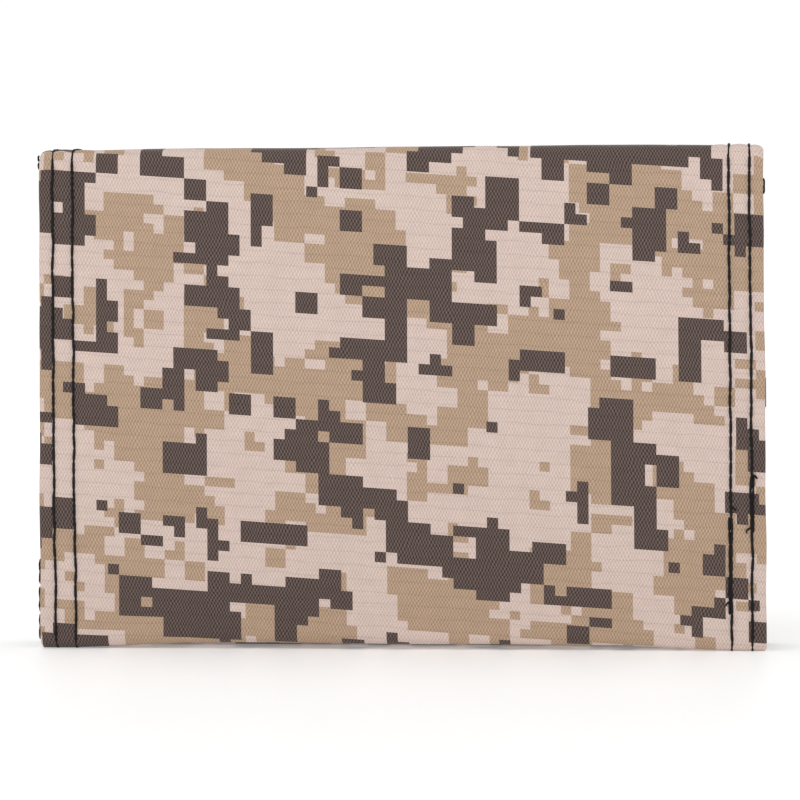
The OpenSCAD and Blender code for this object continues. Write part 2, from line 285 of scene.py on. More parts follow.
def settle(points):
    """Lifts the bottom fold's middle, rounds the top fold's corners and tapers the sides."""
    x, z = points[..., 0], points[..., 2]
    behind = points[..., 1] - Y_FRONT
    bow = BOW * (1 - smooth((np.abs(x) - 0.55 * HALF) / (0.4 * HALF)))
    bow = bow * (0.85 + 0.25 * noise_at(x / (30 * MM), 0.0, seed=5.5))
    bow = bow * (1 - smooth((behind - 4 * MM) / (4.5 * MM)))
    points[..., 2] += bow * (1 - smooth((z - 1 * MM) / (11 * MM)))
    reach = 1.8 * MM
    corner = np.clip((np.abs(x) - (HALF - reach)) / reach, 0, 1) ** 2
    points[..., 2] -= 0.55 * MM * corner * smooth((z - (TOP - 9 * MM)) / (9 * MM))
    points[..., 0] *= 1 - TAPER / HALF * np.clip(z / TOP, 0, 1)
    return points


def on_shell(x, s, depth=0.0):
    """Points of the shell's outer face at x and s, sunk by depth."""
    x, s = np.broadcast_arrays(x, s)
    y, z, ny, nz = shell.at(s)
    out = swell(x, s) - depth
    wander = 0.22 * MM * noise_at(s / (11 * MM), np.sign(x), seed=1.7) * (np.abs(x) / HALF) ** 8
    points = stack(x + wander * np.sign(x), y + ny * out, z + nz * out)
    return settle(points)


def shell_columns(extra):
    """The sheet's columns: x, depth and the distance across the cloth, hem to hem."""
    flat, band = HALF - CLOTH, 11 * MM
    fine = np.arange(0, band, 0.42 * MM)
    middle = np.linspace(band - flat, flat - band, 84)
    outer = np.unique(np.concatenate([fine - flat, middle, flat - fine, extra]).round(7))
    outer = outer[np.concatenate([[True], np.diff(outer) > 0.05 * MM])]
    turn = np.linspace(0, math.pi, 8)[1:]
    right = np.concatenate([flat + CLOTH * np.sin(turn), np.linspace(flat - 1 * MM, HALF - HEM, 5)])
    depth = np.concatenate([CLOTH * (1 - np.cos(turn)), np.full(5, 2 * CLOTH)])
    x = np.concatenate([-right[::-1], outer, right])
    d = np.concatenate([depth[::-1], np.zeros(len(outer)), depth])
    across = np.concatenate([[0], np.cumsum(np.hypot(np.diff(x), np.diff(d)))])
    return x, d, across - across[-1] / 2


def shell_piece(name, low, high, slotted):
    """A cut of the shell strip and its width hem to hem; slotted where the zip's opening goes through."""
    x, depth, across = shell_columns((-ZIP_HALF, ZIP_HALF) if slotted else ())
    s = shell.stations(low, high, SLOT_EDGES if slotted else ())
    grid_x, grid_s = np.meshgrid(x, s)
    points = on_shell(grid_x, grid_s, np.broadcast_to(depth, grid_x.shape))
    mid_x, mid_s, flat = (x[1:] + x[:-1]) / 2, (s[1:] + s[:-1]) / 2, depth[:-1] + depth[1:]

    def keep(i, j):
        in_slot = abs(mid_x[j]) < ZIP_HALF and abs(mid_s[i] - cover_s(ZIP_Z)) < SLOT_HALF_H
        return not (slotted and in_slot) or flat[j] > 0

    uv = stack(np.broadcast_to(across, grid_x.shape), grid_s)
    return sheet_of(name, points, uv, 0.92 * CLOTH, keep, flip=True), float(across[-1] - across[0])


# ---- node materials
class Graph:
    """A small helper that builds one node material around a Principled shader."""

    def __init__(self, name):
        self.material = bpy.data.materials.new(name)
        self.material.use_nodes = True
        self.tree = self.material.node_tree
        self.shader = self.tree.nodes["Principled BSDF"]

    def node(self, kind, **settings):
        made = self.tree.nodes.new("ShaderNode" + kind)
        for key, value in settings.items():
            setattr(made, key, value)
        return made

    def feed(self, socket, value):
        if isinstance(value, bpy.types.NodeSocket):
            self.tree.links.new(value, socket)
        else:
            socket.default_value = value

    def math(self, operation, a, b=0.0, c=0.0):
        made = self.node("Math", operation=operation)
        for socket, value in zip(made.inputs, (a, b, c)):
            self.feed(socket, value)
        return made.outputs[0]

    def add(self, a, b):
        return self.math("ADD", a, b)

    def mul(self, a, b):
        return self.math("MULTIPLY", a, b)

    def wave(self, value, pitch):
        """A ripple from 0 to 1, pitch apart."""
        return self.math("MULTIPLY_ADD", self.math("SINE", self.mul(value, 2 * math.pi / pitch)), 0.5, 0.5)

    def vec(self, operation, a, b=(0, 0, 0), scale=1.0):
        made = self.node("VectorMath", operation=operation)
        self.feed(made.inputs[0], a)
        if operation == "SCALE":
            self.feed(made.inputs["Scale"], scale)
        else:
            self.feed(made.inputs[1], b)
        return made.outputs[0]

    def split(self, vector):
        made = self.node("SeparateXYZ")
        self.feed(made.inputs[0], vector)
        return made.outputs

    def join(self, x, y):
        made = self.node("CombineXYZ")
        self.feed(made.inputs[0], x)
        self.feed(made.inputs[1], y)
        return made.outputs[0]

    def noise(self, vector, scale, detail=2.0, rough=0.5):
        made = self.node("TexNoise")
        self.feed(made.inputs["Vector"], vector)
        for key, value in (("Scale", scale), ("Detail", detail), ("Roughness", rough)):
            made.inputs[key].default_value = value
        return made.outputs["Fac"]

    def white(self, vector):
        made = self.node("TexWhiteNoise", noise_dimensions="3D")
        self.feed(made.inputs["Vector"], vector)
        return made.outputs["Value"]

    def mix(self, share, a, b):
        made = self.node("Mix", data_type="RGBA")
        for socket, value in zip((made.inputs[0], made.inputs[6], made.inputs[7]), (share, a, b)):
            if isinstance(value, tuple) and len(value) == 3:
                value = (*value, 1.0)
            self.feed(socket, value)
        return made.outputs[2]

    def span(self, value, low, high, to_low=0.0, to_high=1.0):
        made = self.node("MapRange")
        for socket, item in zip(made.inputs, (value, low, high, to_low, to_high)):
            self.feed(socket, item)
        return made.outputs[0]

    def bump(self, height, distance, strength):
        made = self.node("Bump")
        made.inputs["Strength"].default_value = strength
        made.inputs["Distance"].default_value = distance
        self.feed(made.inputs["Height"], height)
        return made.outputs[0]

    def strip_mm(self):
        """The strip's x and s, in millimetres."""
        made = self.node("UVMap", uv_map="strip")
        return self.vec("SCALE", made.outputs[0], scale=1000.0)

    def object_mm(self):
        made = self.node("TexCoord")
        return self.vec("SCALE", made.outputs["Object"], scale=1000.0)

    def finish(self, color, roughness, normal=None, **fixed):
        self.feed(self.shader.inputs["Base Color"], color)
        self.feed(self.shader.inputs["Roughness"], roughness)
        if normal is not None:
            self.feed(self.shader.inputs["Normal"], normal)
        for key, value in fixed.items():
            self.shader.inputs[key.replace("_", " ")].default_value = value
        return self.material


def rgb(r, g, b):
    """A linear colour from the sRGB numbers 0 to 255 that a colour picker shows."""
    return tuple(((v / 255 + 0.055) / 1.055) ** 2.4 if v > 10 else v / 255 / 12.92 for v in (r, g, b))


def paler(color, gain, lift):
    """The same colour where it is rubbed or catches the light."""
    return tuple(c * gain + lift for c in color)


CREAM = rgb(210, 191, 180)
CREAM_PINK = rgb(211, 188, 180)
TAN = rgb(177, 150, 126)
DARK = rgb(87, 72, 67)
# the print's squares in millimetres, and how high the fields stand where each colour begins
CELL, DARK_CELL, CELL_ASPECT, PRINT_SKEW = 1.75, 1.93, 0.94, 0.07
TAN_LEVEL, DARK_LEVEL, SPECK_LEVEL = 0.505, 0.549, 0.980
# the cloth's weave and ripstop pitch in millimetres, and how much the weave shades each colour
WEAVE_PITCH, RIP_S, RIP_X = 0.543, 2.2, 2.3
CREAM_RELIEF, TAN_RELIEF, DARK_RELIEF = 0.20, 0.33, 0.95


def woven(g, across, along, pitch, row=1.0):
    """Height of a plain weave, 0 to 1: crowns pitch apart, each row half a step off the one before."""
    a = g.math("COSINE", g.mul(across, 2 * math.pi / pitch))
    b = g.math("COSINE", g.mul(along, math.pi / (pitch * row)))
    return g.math("MULTIPLY_ADD", g.mul(a, b), 0.5, 0.5)


def camo_cloth():
    g = Graph("camo_ripstop")
    place = g.strip_mm()
    x, s, _ = g.split(place)
    # the print is slightly askew on the panel
    skew = g.math("SUBTRACT", s, g.mul(x, PRINT_SKEW))
    flat = g.join(x, skew)

    def cells(count, shift, size):
        """The print's squares, or blocks of them, all on one grid."""
        wide, tall = size, CELL_ASPECT * size
        moved = g.vec("ADD", flat, (shift * wide + 0.37, shift * tall + 0.37, 0))
        return g.vec("ADD", g.vec("SNAP", moved, (count * wide, count * tall, 1.0)), (0.31, 0.31, 0.2))

    def field(offset, scale, stretch, size):
        """A smooth field read at the squares, so its outline runs in steps of whole squares."""
        fine, coarse = cells(1, 0, size), cells(2, 1, size)
        wide = (stretch, 1.0, 1.0)
        at_fine = g.vec("ADD", g.vec("MULTIPLY", fine, wide), (offset, offset, 0))
        at_coarse = g.vec("ADD", g.vec("MULTIPLY", coarse, wide), (offset + 31, offset, 0))
        a, b = g.noise(at_fine, scale, 1.0), g.noise(at_coarse, scale * 2.2, 1.0)
        total = g.add(g.mul(a, 0.68), g.mul(b, 0.32))
        for squares, jagged in ((coarse, 0.12), (fine, 0.035)):
            jag = g.math("SUBTRACT", g.white(g.vec("ADD", squares, (offset, 0, 3))), 0.5)
            total = g.add(total, g.mul(jag, jagged))
        return total

    tan_share = g.math("GREATER_THAN", field(11.0, 0.062, 0.8, CELL), TAN_LEVEL)
    dark_share = g.math("GREATER_THAN", field(57.0, 0.082, 0.85, DARK_CELL), DARK_LEVEL)
    speck = g.white(g.vec("ADD", cells(2, 1, DARK_CELL), (5, 5, 1)))
    dark_share = g.math("MAXIMUM", dark_share, g.math("GREATER_THAN", speck, SPECK_LEVEL))

    cream = g.mix(g.noise(flat, 0.05, 1.0), CREAM, CREAM_PINK)
    ground = g.mix(tan_share, cream, TAN)
    print_color = g.mix(dark_share, ground, DARK)

    # threads wander a little, so the weave is never a ruled grid
    stray = g.noise(flat, 0.22, 2.0, 0.6)
    stray_x = g.math("MULTIPLY_ADD", stray, 1.1, x)
    stray_s = g.math("MULTIPLY_ADD", g.noise(flat, 0.16, 2.0, 0.6), 1.2,
                     g.math("MULTIPLY_ADD", x, -PRINT_SKEW, s))
    weave = woven(g, stray_x, stray_s, WEAVE_PITCH, 0.98)
    thread_tone = g.noise(g.vec("MULTIPLY", place, (0.12, 2.6, 1.0)), 1.0, 2.0, 0.7)
    line_s, line_x = (g.math("ABSOLUTE", g.math("SINE", g.mul(at, math.pi / pitch)))
                      for at, pitch in ((stray_s, RIP_S), (stray_x, RIP_X)))
    rip_s = g.span(line_s, 0.16, 0.04)
    rip_x = g.span(line_x, 0.14, 0.03)
    wear = g.noise(flat, 0.35, 3.0, 0.6)

    # painted shade: the weave's crowns lighter and its hollows darker, more on tan and dark, and the ripstop
    # lines along s darker and those across lighter; the thread tone and wear then vary the colour at random
    relief = g.math("MAXIMUM", g.span(tan_share, 0, 1, CREAM_RELIEF, TAN_RELIEF),
                    g.span(dark_share, 0, 1, 0.0, DARK_RELIEF))
    light = g.math("MULTIPLY_ADD", g.span(weave, 0, 1, -1.0, 1.0), relief, 1.0)
    light = g.mul(light, g.span(rip_s, 0, 1, 1.0, 0.90))
    light = g.mul(light, g.span(rip_x, 0, 1, 1.0, 1.05))
    light = g.mul(light, g.span(thread_tone, 0.25, 0.75, 0.95, 1.05))
    light = g.mul(light, g.span(wear, 0.3, 0.7, 0.965, 1.03))
    color = g.vec("SCALE", print_color, scale=light)
    height = g.add(weave, g.mul(g.math("MAXIMUM", rip_s, rip_x), 0.7))
    normal = g.bump(height, 0.00009, 0.6)
    rough = g.span(weave, 0, 1, 0.66, 0.52)
    return g.finish(color, rough, normal, Sheen_Weight=0.06, Sheen_Roughness=0.5,
                    Specular_IOR_Level=0.3, IOR=1.45)


def dark_cloth(name, color, pitch, rough, depth):
    """A plain woven black cloth, lighter where it rubs."""
    g = Graph(name)
    place = g.strip_mm()
    x, s, _ = g.split(place)
    weave = woven(g, x, s, pitch)
    rub = g.noise(place, 0.25, 3.0, 0.6)
    base = g.mix(g.span(rub, 0.35, 0.75), color, paler(color, 1.9, 0.004))
    # painted shade: the weave's crowns lighter, its hollows darker
    shade = g.vec("SCALE", base, scale=g.span(weave, 0, 1, 0.45, 1.6))
    normal = g.bump(weave, depth, 0.9)
    return g.finish(shade, g.span(weave, 0, 1, rough, rough - 0.12), normal,
                    Sheen_Weight=0.06, Sheen_Roughness=0.45, Specular_IOR_Level=0.35)


def ribbed_tape(name, color):
    """Binding tape: ribs across its width, each rib painted lighter on its crown and darker in its hollow as
    painted shade, and lighter in a random grain.
    """
    g = Graph(name)
    place = g.object_mm()
    x, _, _ = g.split(place)
    ribs = g.wave(x, 0.8)
    grain = g.noise(place, 2.4, 3.0, 0.6)
    height = g.add(ribs, g.mul(grain, 0.5))
    base = g.mix(g.span(grain, 0.35, 0.75), color, paler(color, 1.8, 0.003))
    # painted shade: the ribs' crowns lighter, their hollows darker
    shade = g.vec("SCALE", base, scale=g.span(ribs, 0, 1, 0.5, 1.45))
    return g.finish(shade, g.span(grain, 0.3, 0.7, 0.52, 0.38), g.bump(height, 0.00014, 0.9),
                    Sheen_Weight=0.05, Specular_IOR_Level=0.35)


def fuzz(name, color):
    """Brushed nylon of the hooks and loops."""
    g = Graph(name)
    grain = g.noise(g.object_mm(), 3.5, 4.0, 0.7)
    base = g.mix(g.span(grain, 0.3, 0.7), color, paler(color, 2.2, 0.006))
    return g.finish(base, 0.75, g.bump(grain, 0.0002, 0.9), Sheen_Weight=0.12, Sheen_Roughness=0.6)


def thread_material(name, color):
    """Twisted thread: slanting plies read along the stitch, with a painted highlight on the plies' crowns."""
    g = Graph(name)
    place = g.object_mm()
    x, y, z = g.split(place)
    slant = g.add(g.mul(x, 1.6), g.add(z, y))
    ply = g.wave(slant, 0.42)
    grain = g.noise(place, 4.0, 2.0, 0.6)
    # painted highlight: each ply's crown lighter, in random patches of the grain
    base = g.mix(g.mul(ply, grain), color, paler(color, 2.2, 0.002))
    return g.finish(base, g.span(ply, 0, 1, 0.7, 0.5), g.bump(ply, 0.00006, 0.9), Specular_IOR_Level=0.25)


def plastic(name, color, rough):
    """Smooth plastic with a faint uneven gloss."""
    g = Graph(name)
    grain = g.noise(g.object_mm(), 1.2, 4.0, 0.6)
    base = g.mix(g.span(grain, 0.35, 0.65), color, paler(color, 1.25, 0.002))
    return g.finish(base, g.span(grain, 0.3, 0.7, rough - 0.07, rough + 0.08), g.bump(grain, 0.00003, 0.6))


def black_metal():
    """Lacquered zip metal, with bright scuffs in random streaks."""
    g = Graph("slider_lacquer")
    place = g.object_mm()
    grain = g.noise(place, 1.4, 4.0, 0.65)
    scratch = g.noise(g.vec("MULTIPLY", place, (0.35, 4.0, 2.2)), 1.1, 3.0, 0.6)
    worn = g.span(g.mul(grain, scratch), 0.30, 0.42)
    color = g.mix(worn, (0.028, 0.028, 0.031), (0.17, 0.165, 0.16))
    return g.finish(color, g.span(grain, 0.3, 0.7, 0.26, 0.42), g.bump(scratch, 0.00002, 0.5),
                    Metallic=0.85, Coat_Weight=0.3, Coat_Roughness=0.2)


def vinyl():
    g = Graph("clear_vinyl")
    haze = g.noise(g.object_mm(), 0.25, 3.0, 0.5)
    milk = g.mix(haze, (0.028, 0.030, 0.033), (0.06, 0.063, 0.068))
    return g.finish(milk, g.span(haze, 0.3, 0.7, 0.10, 0.2), g.bump(haze, 0.0002, 0.3),
                    Alpha=0.88, IOR=1.5, Coat_Weight=0.5)


def red_label():
    g = Graph("label_red")
    x, s, _ = g.split(g.strip_mm())
    weave = woven(g, x, s, 0.5)
    grain = g.noise(g.strip_mm(), 1.1, 3.0, 0.6)
    base = g.mix(g.span(grain, 0.3, 0.7), rgb(158, 24, 30), rgb(186, 44, 46))
    # painted shade: the weave's crowns lighter, its hollows darker
    shade = g.vec("SCALE", base, scale=g.span(weave, 0, 1, 0.82, 1.12))
    return g.finish(shade, 0.55, g.bump(weave, 0.00006, 0.7), Sheen_Weight=0.3)


CAMO = camo_cloth()
LINING_MAT = dark_cloth("lining_oxford", (0.013, 0.013, 0.015), 0.85, 0.6, 0.00012)
TAPE_MAT = ribbed_tape("binding_rib", (0.013, 0.013, 0.014))
ZIP_TAPE_MAT = dark_cloth("zip_tape_weave", (0.012, 0.012, 0.013), 0.4, 0.62, 0.00008)
THREAD = thread_material("thread_black", (0.0045, 0.004, 0.004))
THREAD_RED = thread_material("thread_red", rgb(120, 16, 20))
HOOK_MAT = fuzz("hook_nylon", (0.010, 0.010, 0.011))
LOOP_MAT = fuzz("loop_pile", (0.016, 0.016, 0.018))
BOARD_MAT = plastic("stiffener_sheet", (0.03, 0.03, 0.033), 0.55)
COIL_MAT = plastic("coil_nylon", (0.014, 0.014, 0.016), 0.34)
METAL = black_metal()
VINYL = vinyl()
LABEL = red_label()


def dress(piece, material):
    piece.data.materials.clear()
    piece.data.materials.append(material)
    piece.data.polygons.foreach_set("material_index", [0] * len(piece.data.polygons))
    return piece


def fit(piece, material, body, node):
    """Dresses a piece and puts it on a body, in place of a CAD node."""
    dress(piece, material)
    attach(piece, body)
    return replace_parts(piece, node)


# ---- stitches
def stitches(holes, normals, radius=THREAD_R):
    """Thread over a run of needle holes: each stitch rises from one hole and dives into the next."""
    lines = []
    shape = np.array([-0.03, 0.10, 0.34, 0.66, 0.90, 1.03])
    half_lift = np.array([-THREAD_SINK, 0.55 * THREAD_STAND, THREAD_STAND])
    lift = np.concatenate([half_lift, half_lift[::-1]])
    thick = np.array([0.70, 0.92, 1.0, 1.03, 0.92, 0.70]) * radius
    for a, b, na, nb in zip(holes[:-1], holes[1:], normals[:-1], normals[1:]):
        way = a[None] + (b - a)[None] * shape[:, None]
        out = na[None] + (nb - na)[None] * shape[:, None]
        out /= np.linalg.norm(out, axis=1)[:, None]
        lines.append(way + out * lift[:, None])
    return tube_mesh(lines, thick)


def merge(parts):
    """Joins (vertices, faces) pairs into one pair."""
    verts, faces, base = [], [], 0
    for v, f in parts:
        verts.append(v)
        faces.extend(tuple(i + base for i in face) for face in f)
        base += len(v)
    return np.vstack(verts), faces


def solid_piece(name, mesh, material, body=None):
    """A dressed piece from a (vertices, faces) pair, riding on a body where one is named."""
    piece = dress(make_object(name, *mesh), material)
    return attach(piece, body) if body else piece


def shell_normals(s):
    _, _, ny, nz = shell.at(s)
    return stack(np.zeros_like(ny), ny, nz)


def row_run(row, side, low, high, seed, drift=0.0, radius=THREAD_R):
    """One row of stitches beside a hem, between lengths low and high."""
    first = math.ceil(low / PITCH - 1e-6)
    s = np.arange(first, math.floor(high / PITCH + 1e-6) + 1) * PITCH
    pull = rng(seed).normal(0, 1, (2, 200))[:, (first + np.arange(len(s))) % 200]
    x = side * (HALF - row) + row_lean(side, s) + drift + 0.07 * MM * pull[0]
    s = s + 0.09 * MM * pull[1]
    return stitches(on_shell(x, s), shell_normals(s), radius)


def loose_end(x, s, lean, length, seed):
    """A cut thread tail that lifts off the cloth."""
    t = np.linspace(0, 1, 12)
    curl = rng(seed).uniform(1.0, 1.9)
    aside = lean * length * np.sin(curl * t)
    down = 0.45 * length * (1 - np.cos(curl * t))
    way = on_shell(x + aside, s + down)
    out = shell_normals(s + down) * (0.12 * MM + 0.35 * MM * t[:, None])
    return tube_mesh([way + out], 0.2 * MM * (1 - 0.3 * t))


# ---- shell pieces
FRONT_S = shell.marks["centre"]
SEAM_S = FRONT_S[1] - 4.5 * MM
TOP_S = shell.mid("top")
FLOOR_S = shell.mid("bottom")
COVER_S = shell.marks["cover"]


def cover_s(z):
    """The strip length where the cover's flat face is at height z."""
    return COVER_S[0] + z - FOOT


def front_s(z):
    """The strip length where the centre panel's flat face is at height z."""
    return FRONT_S[0] + TOP - BEND - z


FOLDS = {
    "top_front": ("centre", "top_spine", (0, Y_FRONT, TOP - BEND), (0, Y_FRONT + BEND, TOP)),
    "top_back": ("top_spine", "cover", (0, Y_BACK - BEND, TOP), (0, Y_BACK, TOP - BEND)),
    "bottom_front": ("centre", "bottom_spine", (0, Y_FRONT, FLOOR + BEND), (0, Y_FRONT + BEND, FLOOR)),
    "bottom_back": ("bottom_spine", "leaf", (0, Y_LEAF - BEND, FLOOR), (0, Y_LEAF, FLOOR + BEND)),
}


def across_fold(piece, fold):
    a, b, start, end = FOLDS[fold]
    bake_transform(piece)
    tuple(start)
    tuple(end)


SLOT_EDGES = (cover_s(ZIP_Z) - SLOT_HALF_H, cover_s(ZIP_Z) + SLOT_HALF_H)
SHELL_PIECES = (
    ("shell_cover_cloth", COVER_S[0], TOP_S, "top_back", ("shell_cover",)),
    ("shell_centre_cloth", TOP_S, SEAM_S, "top_front",
     ("shell_centre", "shell_top_spine", "shell_top_creases")),
    ("shell_bottom_cloth", SEAM_S, FLOOR_S, "bottom_front", ("shell_bottom_spine", "shell_bottom_creases")),
    ("shell_leaf_cloth", FLOOR_S, shell.end, "bottom_back", ("shell_leaf",)),
)
for name, low, high, fold, nodes in SHELL_PIECES:
    slotted = fold == "top_back"
    cloth, width = shell_piece(name, low, high, slotted)
    dress(cloth, CAMO)
    across_fold(cloth, fold)
    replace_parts(cloth, *nodes)

# back-tacked stretches low on the right rows, with their cut ends
tacks = [row_run(row, 1, front_s(high * MM), front_s(low * MM), seed, drift * MM, 0.21 * MM)
         for row, high, low, seed, drift in ((ROW_IN, 25, 5, 71, -0.3), (ROW_OUT, 30, 19, 72, 0.26))]
tacks += [loose_end(HALF - row, front_s(z * MM), lean, length * MM, seed) for row, z, lean, length, seed in
          ((ROW_OUT, 30, 0.6, 1.6, 81), (ROW_OUT, 21, -0.7, 1.4, 82),
           (ROW_IN, 24.5, 0.6, 1.5, 83), (ROW_IN, 8.5, -0.6, 1.5, 84))]


def edge_thread(side, z_low, z_high, seed):
    """A strand of the lining's seam that shows past the folded edge."""
    n = max(4, round((z_high - z_low) / (0.4 * MM)))
    z = np.linspace(z_low, z_high, n)
    pick = rng(seed)
    proud = (-0.02 + 0.16 * np.abs(np.sin(np.linspace(0, math.pi * max(1, n // 5), n)))) * MM
    x = side * (HALF * (1 - TAPER / HALF * z / TOP) + proud) + pick.normal(0, 0.03 * MM, n)
    y = Y_FRONT + 0.55 * MM + pick.normal(0, 0.06 * MM, n)
    return tube_mesh([stack(x, y, z)], 0.17 * MM)


tacks += [edge_thread(-1, low * MM, high * MM, seed) for low, high, seed in
          ((82.6, 83.8, 91), (84.0, 85.0, 92), (11.2, 15.4, 93), (6.4, 10.6, 94), (1.6, 5.8, 95))]
tacks.append(edge_thread(1, 77.6 * MM, 80.2 * MM, 96))


def slot_stitching():
    """The rectangle of stitches that holds the zip tapes behind the cover."""
    away = 1.9 * MM
    hx, hs, mid = ZIP_HALF + away, SLOT_HALF_H + away, cover_s(ZIP_Z)
    runs = []
    nx, ns = round(2 * hx / PITCH), round(2 * hs / PITCH)
    for side in (-1, 1):
        x = np.linspace(-hx, hx, nx + 1)
        s = np.full(nx + 1, mid + side * hs)
        runs.append(stitches(on_shell(x, s), shell_normals(s)))
        s = np.linspace(mid - hs, mid + hs, ns + 1)
        runs.append(stitches(on_shell(np.full(ns + 1, side * hx), s), shell_normals(s)))
    return runs


# the needle holes nearest to the cuts, which the runs on both sides share
top_hole, seam_hole, floor_hole = (round(s / PITCH) * PITCH for s in (TOP_S, SEAM_S, FLOOR_S))
THREAD_PIECES = (
    ("thread_cover", COVER_S[0] + 5.5 * MM, top_hole, "top_back", slot_stitching(), ("stitches_cover",)),
    ("thread_centre", top_hole, seam_hole, "top_front", (), ("stitches_centre",)),
    ("thread_bottom", seam_hole, floor_hole, "bottom_front", (), ()),
    ("thread_leaf", floor_hole, shell.end - 4.8 * MM, "bottom_back", (), ("stitches_leaf",)),
)
for name, low, high, fold, extra, nodes in THREAD_PIECES:
    rows = [row_run(row, side, low, high, seed=10 + 3 * side + k)
            for side in (-1, 1) for k, row in enumerate((ROW_OUT, ROW_IN))]
    thread = solid_piece(name, merge(rows + list(extra)), THREAD)
    across_fold(thread, fold)
    if nodes:
        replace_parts(thread, *nodes)
solid_piece("thread_backtack", merge(tacks), THREAD, "centre")


# ---- lining
def lining_piece(name, low, high, fold, nodes):
    """A lining sheet, drawn out to the shell along its sewn left side and its two ends."""
    grid_x, grid_s = np.meshgrid(np.linspace(-LIN_X, LIN_X, 74), lining.stations(low, high))
    y, z, ny, nz = lining.at(grid_s)
    gap = LIN_FRONT - (Y_FRONT + 2 * CLOTH)
    sewn = smooth((-grid_x - LIN_X + 4 * MM) / (3 * MM))
    ends = smooth((4 * MM - grid_s) / (3 * MM)) + smooth((grid_s - lining.end + 4 * MM) / (3 * MM))
    out = gap * np.clip(np.maximum(sewn, ends), 0, 1)
    soft = noise_at(grid_x / (19 * MM), grid_s / (12 * MM), seed=21.0)
    in_fold = np.zeros_like(grid_s)
    for part in ("top", "bottom"):
        in_fold += np.sin(math.pi * panel_share(lining, part, grid_s))
    out = out + 0.1 * MM * soft + 0.12 * MM * in_fold * np.sin(grid_x / (4.1 * MM) + 3 * soft)
    points = stack(grid_x, y + ny * out, z + nz * out)
    piece = sheet_of(name, points, stack(grid_x, grid_s), 0.85 * LINING, flip=True)
    dress(piece, LINING_MAT)
    across_fold(piece, fold)
    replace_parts(piece, *nodes)


L_TOP, L_FLOOR = lining.mid("top"), lining.mid("bottom")
L_SEAM = lining.marks["centre"][1] - 8 * MM
lining_piece("lining_cover_cloth", 0.0, L_TOP, "top_back", ("lining_cover",))
lining_piece("lining_centre_cloth", L_TOP, L_SEAM, "top_front", ("lining_centre", "lining_top_fold"))
lining_piece("lining_bottom_cloth", L_SEAM, L_FLOOR, "bottom_front", ("lining_bottom_fold",))
lining_piece("lining_leaf_cloth", L_FLOOR, lining.end, "bottom_back", ("lining_leaf",))


# ---- pockets and tapes
def rows_between(low, high, step):
    return np.linspace(low, high, max(2, round((high - low) / step) + 1))


def box_grid(low, high, step_x, step_z):
    """x and z over a node's box, in steps of about this size."""
    return np.meshgrid(rows_between(low.x, high.x, step_x), rows_between(low.z, high.z, step_z))


def face_cloth(name, grid_x, y, grid_z, thick, facing, material, body, node):
    """A cloth with one face at y over a grid, in place of a node; facing -1 looks to -Y, 1 to +Y."""
    piece = sheet_of(name, stack(grid_x, y, grid_z), stack(grid_x, grid_z), thick, flip=facing > 0)
    return fit(piece, material, body, node)


def pocket_cloth(name, node, facing, body, seed, sides="lrb"):
    """A pocket panel: drawn down to its backing along its sewn sides, free and slightly slack elsewhere."""
    low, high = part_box(node)
    y_face, y_back = (high.y, low.y) if facing > 0 else (low.y, high.y)
    grid_x, grid_z = box_grid(low, high, 1.2 * MM, 1.1 * MM)
    thick, reach = 0.3 * MM, 3 * MM
    rise = np.ones_like(grid_x)
    for key, gone in (("l", grid_x - low.x), ("r", high.x - grid_x),
                      ("b", grid_z - low.z), ("t", high.z - grid_z)):
        if key in sides:
            rise = rise * smooth(gone / reach)
    slack = 0.09 * MM * noise_at(grid_x / (17 * MM), grid_z / (11 * MM), seed=seed)
    floor_y = y_back + facing * thick
    y = floor_y + (y_face - floor_y) * rise + facing * slack * rise
    piece = face_cloth(name, grid_x, y, grid_z, thick, facing, LINING_MAT, body, node)


def flat_run(name, body, runs, out, material=THREAD):
    """Stitches along straight runs, each from a to b, on a flat panel that faces along out."""
    parts = []
    for a, b in runs:
        a, b = np.array(a, float), np.array(b, float)
        n = max(2, round(np.linalg.norm(b - a) / PITCH) + 1)
        holes = a + (b - a) * np.linspace(0, 1, n)[:, None]
        parts.append(stitches(holes, np.tile(np.array(out, float), (n, 1)), FINE_THREAD_R))
    solid_piece(name, merge(parts), material, body)


def frame_run(name, body, left, right, low, high, y, facing):
    """Stitches round a rectangle; facing is -1 where it looks to -Y and 1 where it looks to +Y."""
    corners = [(left, y, low), (right, y, low), (right, y, high), (left, y, high), (left, y, low)]
    flat_run(name, body, zip(corners[:-1], corners[1:]), (0, facing, 0))


def tape_over_edge(name, node, x_half, y_low, y_high, z_edge, down, body, seed, thick=TAPE_THICK):
    """Binding tape folded over an edge: down is -1 where the edge is a top edge, 1 for a bottom edge."""
    width = edge(node, 1, "z") - edge(node, 0, "z")
    x = rows_between(-x_half, x_half, 0.9 * MM)
    half_gap, mid = (y_high - y_low) / 2, (y_high + y_low) / 2
    legs = np.linspace(width, 0.9 * MM, 7)
    turn = np.linspace(0, math.pi, 11)
    y = np.concatenate([np.full(7, y_low), mid - half_gap * np.cos(turn[1:-1]), np.full(7, y_high)])
    drop = np.concatenate([legs, 0.9 * MM * (1 - np.sin(turn[1:-1])), legs[::-1]])
    grid_x, grid_y = np.meshgrid(x, y)
    grid_drop = np.broadcast_to(drop[:, None], grid_x.shape)
    side = np.sign(grid_y - mid)
    soft = noise_at(grid_x / (9 * MM), grid_drop / (6 * MM), seed=seed)
    row = np.exp(-(((grid_drop - 0.6 * width) / (0.8 * MM)) ** 2))
    grid_y = grid_y + side * (0.05 * MM * soft - 0.06 * MM * row)
    points = stack(grid_x, grid_y, z_edge + down * grid_drop)
    piece = sheet_of(name, points, stack(grid_x, grid_drop), thick, flip=down > 0)
    fit(piece, TAPE_MAT, body, node)
    z_row = z_edge + down * 0.6 * width
    x_end = x_half - 0.8 * MM
    for tag, y_row, out in (("low", y_low, -1), ("high", y_high, 1)):
        flat_run(f"{name}_stitch_{tag}", body, [((-x_end, y_row, z_row), (x_end, y_row, z_row))], (0, out, 0))


